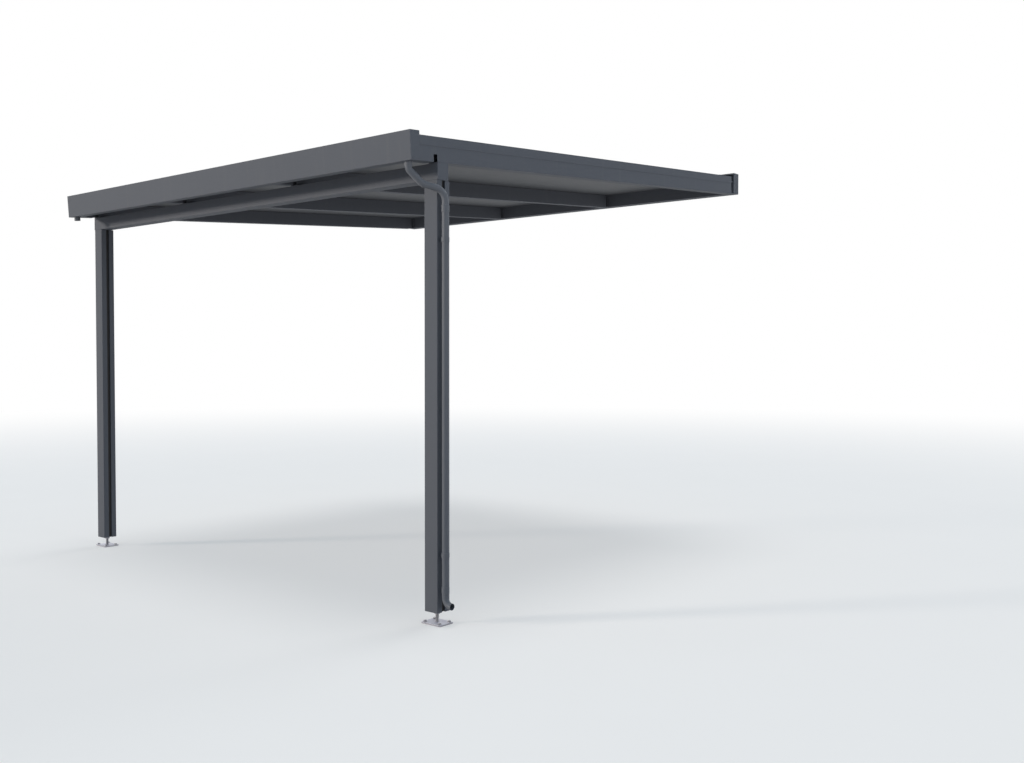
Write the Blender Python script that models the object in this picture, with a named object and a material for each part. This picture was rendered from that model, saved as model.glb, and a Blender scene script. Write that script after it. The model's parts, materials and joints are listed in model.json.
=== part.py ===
"""Wall-mounted aluminium patio cover on two posts.

The roof is a lean-to of three bays. Side beams and rafters run from a wall plate down to a
box gutter, over a level carrier beam that two posts on adjustable feet hold up. A swan-neck
downpipe leads from the gutter down the outer side of the right post.

Metres, +Z up. +X runs to the right seen from the garden and +Y points at the wall.
The origin is the middle of the wall plate's flat back.
"""

import math

import bmesh
import bpy
from mathutils import Matrix, Vector

# Overall size
ROOF_WIDTH = 3.742
ROOF_DEPTH = 3.742
CLEAR_HEIGHT = 2.493
ROOF_FALL = math.radians(3.96)
BAYS = 3

# Gaps between pieces
SEAT = 0.0003
PANEL_PLAY = 0.003

# Gutter
GUTTER_DEPTH = 0.0723
FASCIA_HEIGHT = 0.1616
GUTTER_WALL = 0.0025
GUTTER_REAR_BELOW_SEAT = 0.008
FASCIA_LIP = 0.016
LIP_DROP = 0.010

# Outlets under the gutter
OUTLET_INSET = 0.060
OUTLET_FROM_FRONT = 0.036
OUTLET_WALL = 0.0018
OUTLET_DROP = 0.028
FLANGE_WIDTH = 0.0045
FLANGE_THICKNESS = 0.003

# Roof beams
SEAT_HEIGHT = 0.1077
RAIL_RISE = 0.0296
SIDE_BEAM_WIDTH = 0.070
SIDE_RAIL_WIDTH = 0.038
RAFTER_WIDTH = 0.060
BEAM_WALL = 0.003
NOTCH_WIDTH = 0.030
NOTCH_HEIGHT = 0.043
EDGE_ROUND = 0.0015

# Roof panels and what clamps them
PANEL_THICKNESS = 0.016
PANEL_OVERHANG = 0.025
CAP_THICKNESS = 0.0022
CAP_LIP = 0.0025
CAP_STEM = 0.010
TRIM_DEPTH = 0.0533
TRIM_REACH = 0.018
TRIM_THICKNESS = 0.002
DRIP_DEPTH = 0.020
DRIP_THICKNESS = 0.0015

# Carrier beam on the posts
CARRIER_SETBACK = 0.2064
CARRIER_DEPTH = 0.0853
CARRIER_HEIGHT = 0.0923
CARRIER_WALL = 0.003
END_PLATE = 0.003

# Posts
POST_SIZE = 0.100
POST_WALL = 0.003
POST_INSET = 0.0068
POST_ROUND = 0.003
SLOT_MOUTH = 0.024
SLOT_WIDTH = 0.030
SLOT_DEPTH = 0.014

# Adjustable feet
POST_BOTTOM = 0.071
PLATE_WIDTH = 0.150
PLATE_DEPTH = 0.115
PLATE_THICKNESS = 0.008
PLATE_ROUND = 0.010
PLATE_HOLE_RADIUS = 0.006
PLATE_HOLE_INSET = 0.018
SPINDLE_RADIUS = 0.010
SPINDLE_REACH = 0.048
NUT_ACROSS_FLATS = 0.030
NUT_HEIGHT = 0.016
INSERT_HEIGHT = 0.030

# Wall plate and flashing
WALL_PLATE_DEPTH = 0.079
WALL_PLATE_WALL = 0.003
PLATE_ABOVE_BEAMS = 0.0045
BEAM_END_GAP = 0.032
FLASHING_THICKNESS = 0.002
FLASHING_FOOT = 0.030
FLASHING_UPSTAND = 0.007
FLASHING_REACH = 0.305
FLASHING_RISE = 0.030
FLASHING_STEP = 0.008

# Brackets that carry the roof beams on the wall plate
BRACKET_REACH = 0.060
BRACKET_THICKNESS = 0.005

# Downpipe
PIPE_RADIUS = 0.0194
PIPE_WALL = 0.002
PIPE_STANDOFF = 0.0383
PIPE_FROM_POST_FRONT = 0.026
SOCKET_LENGTH = 0.035
SOCKET_WALL = 0.0025
NECK_INSERT = 0.015
NECK_UPPER_CORNER = 0.043
NECK_KNEE_DROP = 0.116
NECK_KNEE_RUN = 0.082
NECK_LOWER_CORNER = 0.061
NECK_UPPER_BEND = 0.030
NECK_KNEE_BEND = 0.060
NECK_LOWER_BEND = 0.075
NECK_TAIL = 0.085
SHOE_TOP = 0.190
SHOE_CORNER = 0.070
SHOE_ANGLE = math.radians(88)
SHOE_BEND = 0.045
SHOE_LENGTH = 0.050
CLIP_INSET = 0.200
CLIP_THICKNESS = 0.003
CLIP_TALL = 0.025

# Facets of round shapes
ARC_STEPS = 3
PIPE_SIDES = 20
BEND_STEPS = 9

# Sizes that follow from the ones above
HALF = ROOF_WIDTH / 2
FALL_SLOPE = math.tan(ROOF_FALL)
BEAM_HEIGHT = SEAT_HEIGHT + RAIL_RISE
GUTTER_REAR_HEIGHT = SEAT_HEIGHT - GUTTER_REAR_BELOW_SEAT
EAVES_HEIGHT = CLEAR_HEIGHT + CARRIER_HEIGHT + SEAT - FALL_SLOPE * CARRIER_SETBACK
PANEL_BOTTOM = SEAT_HEIGHT + SEAT
PANEL_TOP = PANEL_BOTTOM + PANEL_THICKNESS
CAP_TOP = BEAM_HEIGHT + SEAT + TRIM_THICKNESS
BEAM_FRONT = GUTTER_DEPTH + SEAT
BEAM_REAR_Y = -(WALL_PLATE_DEPTH + BEAM_END_GAP)
SIDE_BEAM_OUTER = HALF - TRIM_THICKNESS - SEAT
SIDE_BEAM_INNER = SIDE_BEAM_OUTER - SIDE_BEAM_WIDTH
SIDE_RAIL_INNER = SIDE_BEAM_OUTER - SIDE_RAIL_WIDTH
BAY_PITCH = 2 * (HALF - SIDE_BEAM_WIDTH / 2) / BAYS
POST_X = HALF - POST_INSET - POST_SIZE / 2
POST_FRONT_Y = -ROOF_DEPTH + CARRIER_SETBACK
POST_Y = POST_FRONT_Y + POST_SIZE / 2
PIPE_X = POST_X + POST_SIZE / 2 + PIPE_STANDOFF
PIPE_Y = POST_FRONT_Y + PIPE_FROM_POST_FRONT
PIPE_BORE = PIPE_RADIUS - PIPE_WALL
OUTLET_BORE = PIPE_RADIUS + SEAT
OUTLET_RADIUS = OUTLET_BORE + OUTLET_WALL
FLANGE_RADIUS = OUTLET_RADIUS + FLANGE_WIDTH


def beam_underside(y):
    """Height above the ground of the roof beams' lower face at a distance y from the wall."""
    return EAVES_HEIGHT + FALL_SLOPE * (y + ROOF_DEPTH)


WALL_PLATE_BOTTOM = beam_underside(-WALL_PLATE_DEPTH) + PLATE_ABOVE_BEAMS
WALL_PLATE_TOP = beam_underside(-WALL_PLATE_DEPTH) + CAP_TOP + FLASHING_RISE
ORIGIN_HEIGHT = (WALL_PLATE_BOTTOM + WALL_PLATE_TOP) / 2
BEAM_REAR = (BEAM_REAR_Y + ROOF_DEPTH) / math.cos(ROOF_FALL)
PANEL_FRONT = GUTTER_DEPTH - PANEL_OVERHANG
PANEL_REACH = ROOF_DEPTH - WALL_PLATE_DEPTH - PANEL_PLAY
PANEL_REAR = (PANEL_REACH + PANEL_BOTTOM * math.sin(ROOF_FALL)) / math.cos(ROOF_FALL)


def clear_scene():
    """Remove every object of the open scene."""
    for obj in list(bpy.data.objects):
        bpy.data.objects.remove(obj, do_unlink=True)


def finish(name, color, roughness, metallic):
    """A Principled material with one colour."""
    material = bpy.data.materials.new(name)
    material.use_nodes = True
    shader = material.node_tree.nodes["Principled BSDF"]
    shader.inputs["Base Color"].default_value = (*color, 1.0)
    shader.inputs["Roughness"].default_value = roughness
    shader.inputs["Metallic"].default_value = metallic
    return material


def frame_empty(name, location, tilt=0.0, parent=None):
    """An empty that carries the pieces built in its own directions."""
    empty = bpy.data.objects.new(name, None)
    bpy.context.scene.collection.objects.link(empty)
    empty.location = location
    empty.rotation_euler = (tilt, 0.0, 0.0)
    empty.parent = parent
    return empty


def add_object(name, bm, parent, material, smooth=False):
    """Turn a bmesh into a named object that hangs on an empty."""
    bmesh.ops.recalc_face_normals(bm, faces=bm.faces)
    mesh = bpy.data.meshes.new(name)
    bm.to_mesh(mesh)
    bm.free()
    if smooth:
        mesh.shade_smooth()
        mesh.set_sharp_from_angle(angle=math.radians(35))
    mesh.materials.append(material)
    obj = bpy.data.objects.new(name, mesh)
    bpy.context.scene.collection.objects.link(obj)
    obj.parent = parent
    return obj


def rounded(corners, radius):
    """Outline through the corners, with an arc of the radius at each one."""
    points = []
    count = len(corners)
    for index, corner in enumerate(corners):
        here = Vector(corner)
        before = (Vector(corners[index - 1]) - here).normalized()
        after = (Vector(corners[(index + 1) % count]) - here).normalized()
        half_angle = before.angle(after) / 2
        reach = radius / math.tan(half_angle)
        centre = here + (before + after).normalized() * radius / math.sin(half_angle)
        first = here + before * reach - centre
        last = here + after * reach - centre
        sweep = first.angle_signed(last)
        for step in range(ARC_STEPS + 1):
            turn = Matrix.Rotation(-sweep * step / ARC_STEPS, 2)
            points.append(tuple(centre + turn @ first))
    return points


def rectangle(low_a, low_b, high_a, high_b):
    """Corners of a rectangle, anticlockwise."""
    return [(low_a, low_b), (high_a, low_b), (high_a, high_b), (low_a, high_b)]


def circle(centre_a, centre_b, radius, sides=PIPE_SIDES):
    """Points round a circle."""
    turns = [2 * math.pi * step / sides for step in range(sides)]
    return [(centre_a + radius * math.cos(t), centre_b + radius * math.sin(t)) for t in turns]


def extrusion(loops, place, start, end):
    """Bmesh of an extruded profile: the first loop is the outline, the others are chambers."""
    bm = bmesh.new()
    edges = []
    for loop in loops:
        verts = [bm.verts.new(place(a, b, start)) for a, b in loop]
        for index, vert in enumerate(verts):
            edges.append(bm.edges.new((verts[index - 1], vert)))
    bmesh.ops.triangle_fill(bm, use_beauty=True, edges=edges)
    grown = bmesh.ops.extrude_face_region(bm, geom=bm.faces[:])
    moved = [item for item in grown["geom"] if isinstance(item, bmesh.types.BMVert)]
    travel = Vector(place(0, 0, end)) - Vector(place(0, 0, start))
    bmesh.ops.translate(bm, verts=moved, vec=travel)
    return bm


def along_x(a, b, c):
    """Profile drawn in depth and height, run along the width."""
    return (c, a, b)


def along_y(a, b, c):
    """Profile drawn in width and height, run down the slope."""
    return (a, c, b)


def along_z(a, b, c):
    """Profile drawn on plan, run upwards."""
    return (a, b, c)


def mirrored(loop):
    """The same profile on the other side of the middle."""
    return [(-a, b) for a, b in loop]


def cut(target, tool):
    """Take a closed bmesh away from an object."""
    cutter = add_object(target.name + "_cutter", tool, target.parent, target.active_material)
    cutter.hide_render = True
    cutter.display_type = "WIRE"
    boolean = target.modifiers.new("cut", "BOOLEAN")
    boolean.operation = "DIFFERENCE"
    boolean.solver = "EXACT"
    boolean.object = cutter


def bent_path(corners, radii):
    """Points and directions of a path with a round bend of its own radius at each inner corner."""
    stations = [(corners[0], (corners[1] - corners[0]).normalized())]
    for before, here, after, radius in zip(corners, corners[1:], corners[2:], radii):
        back = (before - here).normalized()
        ahead = (after - here).normalized()
        half_angle = back.angle(ahead) / 2
        centre = here + (back + ahead).normalized() * radius / math.sin(half_angle)
        arm = here + back * radius / math.tan(half_angle) - centre
        axis = (-back).cross(ahead).normalized()
        bend = math.pi - 2 * half_angle
        for step in range(BEND_STEPS + 1):
            turn = Matrix.Rotation(bend * step / BEND_STEPS, 3, axis)
            stations.append((centre + turn @ arm, turn @ -back))
    stations.append((corners[-1], (corners[-1] - corners[-2]).normalized()))
    return stations


def shell(rings):
    """Bmesh skinned over a closed chain of rings, each a centre, a direction and a radius."""
    bm = bmesh.new()
    side = Vector((0, 1, 0))
    loops = []
    for centre, direction, radius in rings:
        side = (side - direction * side.dot(direction)).normalized()
        other = direction.cross(side)
        turns = [2 * math.pi * step / PIPE_SIDES for step in range(PIPE_SIDES)]
        offsets = [side * math.cos(t) + other * math.sin(t) for t in turns]
        loops.append([bm.verts.new(centre + offset * radius) for offset in offsets])
    for index, loop in enumerate(loops):
        previous = loops[index - 1]
        for corner in range(PIPE_SIDES):
            quad = (previous[corner - 1], previous[corner], loop[corner], loop[corner - 1])
            bm.faces.new(quad)
    return bm


def pipe_rings(stations, outer, bore):
    """Rings of a plain tube: out along the outside and back along the bore."""
    outside = [(centre, direction, outer) for centre, direction in stations]
    inside = [(centre, direction, bore) for centre, direction in reversed(stations)]
    return outside + inside


def build_gutter(roof, paint):
    """Box gutter with a tall fascia, open at the top behind the fascia's lip."""
    wall = GUTTER_WALL
    outline = [
        (0, 0),
        (GUTTER_DEPTH, 0),
        (GUTTER_DEPTH, GUTTER_REAR_HEIGHT),
        (GUTTER_DEPTH - wall, GUTTER_REAR_HEIGHT),
        (GUTTER_DEPTH - wall, wall),
        (wall, wall),
        (wall, FASCIA_HEIGHT - wall),
        (FASCIA_LIP - wall, FASCIA_HEIGHT - wall),
        (FASCIA_LIP - wall, FASCIA_HEIGHT - LIP_DROP),
        (FASCIA_LIP, FASCIA_HEIGHT - LIP_DROP),
        (FASCIA_LIP, FASCIA_HEIGHT),
        (0, FASCIA_HEIGHT),
    ]
    reach = HALF - END_PLATE - SEAT
    gutter = add_object("gutter", extrusion([outline], along_x, -reach, reach), roof, paint)
    holes = bmesh.new()
    for side in (-1, 1):
        place = Matrix.Translation((side * (HALF - OUTLET_INSET), OUTLET_FROM_FRONT, wall / 2))
        bmesh.ops.create_cone(
            holes,
            cap_ends=True,
            segments=PIPE_SIDES,
            radius1=PIPE_BORE,
            radius2=PIPE_BORE,
            depth=4 * wall,
            matrix=place,
        )
    cut(gutter, holes)

    plate = rounded(rectangle(0, 0, GUTTER_DEPTH, FASCIA_HEIGHT), EDGE_ROUND)
    for side, name in ((-1, "left"), (1, "right")):
        body = extrusion([plate], along_x, side * (HALF - END_PLATE), side * HALF)
        add_object("gutter_end_plate_" + name, body, roof, paint)
        add_object("gutter_outlet_" + name, outlet_body(side), roof, paint, smooth=True)


def outlet_body(side):
    """Flanged spigot that hangs under the gutter floor."""
    down = Vector((0, 0, -1))
    top = Vector((side * (HALF - OUTLET_INSET), OUTLET_FROM_FRONT, -SEAT))
    flange = top + down * FLANGE_THICKNESS
    tip = top + down * OUTLET_DROP
    rings = [
        (top, down, FLANGE_RADIUS),
        (flange, down, FLANGE_RADIUS),
        (flange, down, OUTLET_RADIUS),
        (tip, down, OUTLET_RADIUS),
        (tip, down, OUTLET_BORE),
        (top, down, OUTLET_BORE),
    ]
    return shell(rings)


def side_beam_profile():
    """Right side beam seen from the front: a tall outer rail and a low inner seat."""
    outline = [
        (SIDE_BEAM_INNER, 0),
        (SIDE_BEAM_OUTER, 0),
        (SIDE_BEAM_OUTER, BEAM_HEIGHT),
        (SIDE_RAIL_INNER, BEAM_HEIGHT),
        (SIDE_RAIL_INNER, SEAT_HEIGHT),
        (SIDE_BEAM_INNER, SEAT_HEIGHT),
    ]
    wall = BEAM_WALL
    web = SEAT_HEIGHT - wall
    lower = rectangle(SIDE_BEAM_INNER + wall, wall, SIDE_BEAM_OUTER - wall, web)
    upper = rectangle(SIDE_RAIL_INNER + wall, SEAT_HEIGHT, SIDE_BEAM_OUTER - wall, BEAM_HEIGHT - wall)
    return [rounded(outline, EDGE_ROUND), lower, upper]


def notch(low_x, high_x):
    """Block that cuts the slot in a beam's lower edge in front of the carrier beam."""
    rear = CARRIER_SETBACK / math.cos(ROOF_FALL)
    box = rectangle(rear - NOTCH_WIDTH, -NOTCH_HEIGHT, rear, NOTCH_HEIGHT)
    return extrusion([box], along_x, low_x, high_x)


def build_beams(roof, paint):
    """Side beams, rafters and what covers them."""
    right = side_beam_profile()
    for name, loops, side in (("left", [mirrored(loop) for loop in right], -1), ("right", right, 1)):
        body = extrusion(loops, along_y, BEAM_FRONT, BEAM_REAR)
        beam = add_object("side_beam_" + name, body, roof, paint)
        edges = sorted((side * (SIDE_BEAM_INNER - BEAM_WALL), side * (HALF + BEAM_WALL)))
        cut(beam, notch(*edges))

    half = RAFTER_WIDTH / 2
    for name, centre in (("left", -BAY_PITCH / 2), ("right", BAY_PITCH / 2)):
        outer = rounded(rectangle(centre - half, 0, centre + half, SEAT_HEIGHT), EDGE_ROUND)
        wall = BEAM_WALL
        chamber = rectangle(centre - half + wall, wall, centre + half - wall, SEAT_HEIGHT - wall)
        body = extrusion([outer, chamber], along_y, BEAM_FRONT, BEAM_REAR)
        rafter = add_object("rafter_" + name, body, roof, paint)
        cut(rafter, notch(centre - half - wall, centre + half + wall))
        cap = extrusion([rafter_cap_profile(centre)], along_y, BEAM_FRONT, BEAM_REAR)
        add_object("rafter_cap_" + name, cap, roof, paint)

    trim = side_trim_profile()
    for name, loop in (("left", mirrored(trim)), ("right", trim)):
        body = extrusion([loop], along_y, BEAM_FRONT, BEAM_REAR)
        add_object("side_trim_" + name, body, roof, paint)


def rafter_cap_profile(centre):
    """Clamping cap over a rafter, with two lips on the panels and a stem on the rafter."""
    half = RAFTER_WIDTH / 2
    lip = half - CAP_LIP
    stem = CAP_STEM / 2
    under = CAP_TOP - CAP_THICKNESS
    rest = PANEL_TOP + SEAT
    right = [
        (stem, PANEL_BOTTOM),
        (stem, under),
        (lip, under),
        (lip, rest),
        (half, rest),
        (half, CAP_TOP),
    ]
    left = [(-a, b) for a, b in reversed(right)]
    return [(centre + a, b) for a, b in right + left]


def side_trim_profile():
    """Folded cover strip over the right side beam's upper edge."""
    inner = SIDE_RAIL_INNER - TRIM_REACH
    under = BEAM_HEIGHT + SEAT
    return [
        (HALF, CAP_TOP - TRIM_DEPTH),
        (HALF, CAP_TOP),
        (inner, CAP_TOP),
        (inner, PANEL_TOP + SEAT),
        (inner + TRIM_THICKNESS, PANEL_TOP + SEAT),
        (inner + TRIM_THICKNESS, under),
        (HALF - TRIM_THICKNESS, under),
        (HALF - TRIM_THICKNESS, CAP_TOP - TRIM_DEPTH),
    ]


def build_panels(roof, infill, paint):
    """One infill panel a bay, with a drip profile clipped over its lower end."""
    stem = CAP_STEM / 2 + PANEL_PLAY
    outer_edge = SIDE_RAIL_INNER - PANEL_PLAY
    bays = {
        "left": (-outer_edge, -BAY_PITCH / 2 - stem),
        "middle": (-BAY_PITCH / 2 + stem, BAY_PITCH / 2 - stem),
        "right": (BAY_PITCH / 2 + stem, outer_edge),
    }
    play = SEAT
    sheet = DRIP_THICKNESS
    for name, (low, high) in bays.items():
        slab = extrusion([rectangle(low, PANEL_BOTTOM, high, PANEL_TOP)], along_y, PANEL_FRONT, PANEL_REAR)
        add_object("roof_panel_" + name, slab, roof, infill)
        front = PANEL_FRONT - play
        rear = PANEL_FRONT + DRIP_DEPTH
        clip = [
            (front - sheet, PANEL_BOTTOM - play - 2 * sheet),
            (front, PANEL_BOTTOM - play - 2 * sheet),
            (front, PANEL_BOTTOM - play - sheet),
            (rear, PANEL_BOTTOM - play - sheet),
            (rear, PANEL_BOTTOM - play),
            (front, PANEL_BOTTOM - play),
            (front, PANEL_TOP + play),
            (rear, PANEL_TOP + play),
            (rear, PANEL_TOP + play + sheet),
            (front - sheet, PANEL_TOP + play + sheet),
        ]
        add_object("panel_drip_" + name, extrusion([clip], along_x, low, high), roof, paint)


def build_carrier(site, paint):
    """Level beam on the posts, with its top planed to the roof's fall, and its end plates."""
    front = POST_FRONT_Y
    rear = front + CARRIER_DEPTH
    corners = [
        (front, CLEAR_HEIGHT),
        (rear, CLEAR_HEIGHT),
        (rear, beam_underside(rear) - SEAT),
        (front, beam_underside(front) - SEAT),
    ]
    wall = CARRIER_WALL
    chamber = [
        (front + wall, CLEAR_HEIGHT + wall),
        (rear - wall, CLEAR_HEIGHT + wall),
        (rear - wall, beam_underside(rear - wall) - SEAT - wall),
        (front + wall, beam_underside(front + wall) - SEAT - wall),
    ]
    reach = SIDE_BEAM_OUTER - END_PLATE - SEAT
    outline = rounded(corners, EDGE_ROUND)
    add_object("carrier_beam", extrusion([outline, chamber], along_x, -reach, reach), site, paint)
    for side, name in ((-1, "left"), (1, "right")):
        outer = side * SIDE_BEAM_OUTER
        plate = extrusion([outline], along_x, outer - side * END_PLATE, outer)
        add_object("carrier_end_plate_" + name, plate, site, paint)


def post_outline():
    """Square post with an undercut slot down the middle of its two side faces."""
    half = POST_SIZE / 2
    mouth = SLOT_MOUTH / 2
    inside = SLOT_WIDTH / 2
    lip = half - POST_WALL
    floor = half - SLOT_DEPTH
    corner = rounded(rectangle(-half, -half, half, half), POST_ROUND)
    side = ARC_STEPS + 1
    right = [(half, -mouth), (lip, -mouth), (lip, -inside), (floor, -inside)]
    right += [(a, -b) for a, b in reversed(right)]
    left = [(-a, -b) for a, b in right]
    return corner[: 2 * side] + right + corner[2 * side :] + left


def post_chamber(clearance):
    """Hollow inside the post, kept clear of the slots."""
    outer = POST_SIZE / 2 - POST_WALL - clearance
    waist = POST_SIZE / 2 - SLOT_DEPTH - POST_WALL - clearance
    shoulder = SLOT_WIDTH / 2 + POST_WALL + clearance
    quarter = [(outer, -outer), (outer, -shoulder), (waist, -shoulder)]
    right = quarter + [(a, -b) for a, b in reversed(quarter)]
    return right + [(-a, -b) for a, b in right]


def build_post(site, name, x, paint, zinc):
    """A post with the foot that it stands on."""
    foot = frame_empty("post_axis_" + name, (x, POST_Y, 0), parent=site)
    body = extrusion([post_outline(), post_chamber(0)], along_z, POST_BOTTOM, CLEAR_HEIGHT - SEAT)
    add_object("post_" + name, body, foot, paint)

    bore = circle(0, 0, SPINDLE_RADIUS + SEAT)
    insert = extrusion([post_chamber(SEAT), bore], along_z, POST_BOTTOM, POST_BOTTOM + INSERT_HEIGHT)
    add_object("post_insert_" + name, insert, foot, zinc)

    nut_radius = NUT_ACROSS_FLATS / math.sqrt(3)
    nut_top = POST_BOTTOM - SEAT
    hexagon = circle(0, 0, nut_radius, sides=6)
    nut = extrusion([hexagon, bore], along_z, nut_top - NUT_HEIGHT, nut_top)
    add_object("foot_nut_" + name, nut, foot, zinc)

    rod = circle(0, 0, SPINDLE_RADIUS)
    bottom = PLATE_THICKNESS + SEAT
    spindle = extrusion([rod], along_z, bottom, POST_BOTTOM + SPINDLE_REACH)
    add_object("foot_spindle_" + name, spindle, foot, zinc, smooth=True)

    wide = PLATE_WIDTH / 2
    deep = PLATE_DEPTH / 2
    hole_x = wide - PLATE_HOLE_INSET
    hole_y = deep - PLATE_HOLE_INSET
    holes = [circle(a, b, PLATE_HOLE_RADIUS, 12) for a in (-hole_x, hole_x) for b in (-hole_y, hole_y)]
    outline = rounded(rectangle(-wide, -deep, wide, deep), PLATE_ROUND)
    plate = extrusion([outline] + holes, along_z, 0, PLATE_THICKNESS)
    add_object("foot_plate_" + name, plate, foot, zinc)


def from_roof(run, rise):
    """Site depth and height of a point given along the slope and square to it."""
    y = -ROOF_DEPTH + run * math.cos(ROOF_FALL) - rise * math.sin(ROOF_FALL)
    z = EAVES_HEIGHT + run * math.sin(ROOF_FALL) + rise * math.cos(ROOF_FALL)
    return (y, z)


def bracket_profile():
    """Side view of a channel fixed to the wall plate, with flanges that reach into a beam."""
    rear = -(WALL_PLATE_DEPTH + SEAT)
    inner = rear - BRACKET_THICKNESS
    tip = BEAM_REAR_Y - BRACKET_REACH
    low = BEAM_WALL + SEAT
    high = SEAT_HEIGHT - BEAM_WALL - SEAT
    path = [
        (tip, low),
        (rear, low),
        (rear, high),
        (tip, high),
        (tip, high - BRACKET_THICKNESS),
        (inner, high - BRACKET_THICKNESS),
        (inner, low + BRACKET_THICKNESS),
        (tip, low + BRACKET_THICKNESS),
    ]
    return [(y, beam_underside(y) + rise / math.cos(ROOF_FALL)) for y, rise in path]


def build_brackets(site, paint):
    """One bracket inside the upper end of each roof beam."""
    inset = BEAM_WALL + SEAT
    half = RAFTER_WIDTH / 2 - inset
    spans = {
        "side_left": (-SIDE_BEAM_OUTER + inset, -SIDE_BEAM_INNER - inset),
        "rafter_left": (-BAY_PITCH / 2 - half, -BAY_PITCH / 2 + half),
        "rafter_right": (BAY_PITCH / 2 - half, BAY_PITCH / 2 + half),
        "side_right": (SIDE_BEAM_INNER + inset, SIDE_BEAM_OUTER - inset),
    }
    for name, (low, high) in spans.items():
        body = extrusion([bracket_profile()], along_x, low, high)
        add_object("wall_bracket_" + name, body, site, paint)


def build_wall_plate(site, paint):
    """Wall plate, its end plates and the flashing that bridges the gap to the roof."""
    front = -WALL_PLATE_DEPTH
    wall = WALL_PLATE_WALL
    face = rectangle(front, WALL_PLATE_BOTTOM, 0, WALL_PLATE_TOP)
    middle = (WALL_PLATE_BOTTOM + WALL_PLATE_TOP) / 2
    lower = rectangle(front + wall, WALL_PLATE_BOTTOM + wall, -wall, middle - wall / 2)
    upper = rectangle(front + wall, middle + wall / 2, -wall, WALL_PLATE_TOP - wall)
    reach = HALF - END_PLATE - SEAT
    body = extrusion([rounded(face, EDGE_ROUND), lower, upper], along_x, -reach, reach)
    add_object("wall_plate", body, site, paint)

    for side, name in ((-1, "left"), (1, "right")):
        plate = extrusion([rounded(face, EDGE_ROUND)], along_x, side * (HALF - END_PLATE), side * HALF)
        add_object("wall_end_plate_" + name, plate, site, paint)

    start = (ROOF_DEPTH - FLASHING_REACH) / math.cos(ROOF_FALL)
    rest = CAP_TOP + SEAT
    sheet = FLASHING_THICKNESS
    rear = front - SEAT
    crease = WALL_PLATE_TOP - FLASHING_STEP - sheet
    foot = from_roof(start, rest)
    bend = from_roof(start + FLASHING_FOOT, rest)
    outline = [
        foot,
        bend,
        (rear, crease),
        (rear, crease + sheet + FLASHING_UPSTAND),
        (rear - sheet, crease + sheet + FLASHING_UPSTAND),
        (rear - sheet, crease + sheet),
        (bend[0], bend[1] + sheet),
        (foot[0], foot[1] + sheet),
    ]
    body = extrusion([outline], along_x, -HALF, HALF)
    add_object("wall_flashing", body, site, paint)


def build_downpipe(site, paint):
    """Swan neck from the right outlet, straight pipe, shoe and the clips on the post."""
    down = Vector((0, 0, -1))
    slope_down = Vector((0, math.sin(ROOF_FALL), -math.cos(ROOF_FALL)))
    outlet = Vector((HALF - OUTLET_INSET, *from_roof(OUTLET_FROM_FRONT, 0)))
    top = outlet + slope_down * (OUTLET_DROP - NECK_INSERT)
    upper = outlet + slope_down * NECK_UPPER_CORNER
    lower = Vector((PIPE_X, PIPE_Y, CLEAR_HEIGHT - NECK_LOWER_CORNER))
    level = Vector((PIPE_X - outlet.x, PIPE_Y - outlet.y, 0)).normalized()
    knee = outlet + level * NECK_KNEE_RUN + down * NECK_KNEE_DROP
    joint = lower + down * NECK_TAIL
    bends = [NECK_UPPER_BEND, NECK_KNEE_BEND, NECK_LOWER_BEND]
    neck = bent_path([top, upper, knee, lower, joint], bends)
    add_object("downpipe_neck", shell(socket_rings(neck)), site, paint, smooth=True)

    head = joint + down * SEAT
    foot = Vector((PIPE_X, PIPE_Y, SHOE_TOP))
    straight = [(head, down), (foot, down)]
    add_object("downpipe", shell(pipe_rings(straight, PIPE_RADIUS, PIPE_BORE)), site, paint, smooth=True)

    outward = Vector((math.sin(SHOE_ANGLE), 0, -math.cos(SHOE_ANGLE)))
    elbow = foot + down * SHOE_CORNER
    mouth = elbow + outward * SHOE_LENGTH
    shoe = bent_path([foot + down * SEAT, elbow, mouth], [SHOE_BEND])
    turned = [(centre, -direction) for centre, direction in reversed(shoe)]
    add_object("downpipe_shoe", shell(socket_rings(turned)), site, paint, smooth=True)

    heights = {"upper": joint.z - CLIP_INSET, "lower": foot.z + CLIP_INSET}
    for name, height in heights.items():
        clip = extrusion(clip_loops(), along_z, height, height + CLIP_TALL)
        add_object("pipe_clip_" + name, clip, site, paint)


def socket_rings(stations):
    """Rings of a bent tube whose last end widens into a socket round the next pipe."""
    end, direction = stations[-1]
    tip = end + direction * SOCKET_LENGTH
    bore = PIPE_RADIUS + SEAT
    wide = bore + SOCKET_WALL
    shoulder = end - direction * SOCKET_WALL
    outside = [(centre, heading, PIPE_RADIUS) for centre, heading in stations[:-1]]
    socket = [
        (shoulder - direction * SOCKET_WALL, direction, PIPE_RADIUS),
        (shoulder, direction, wide),
        (tip, direction, wide),
        (tip, direction, bore),
        (end, direction, bore),
        (end, direction, PIPE_BORE),
    ]
    inside = [(centre, heading, PIPE_BORE) for centre, heading in reversed(stations[:-1])]
    return outside + socket + inside


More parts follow.
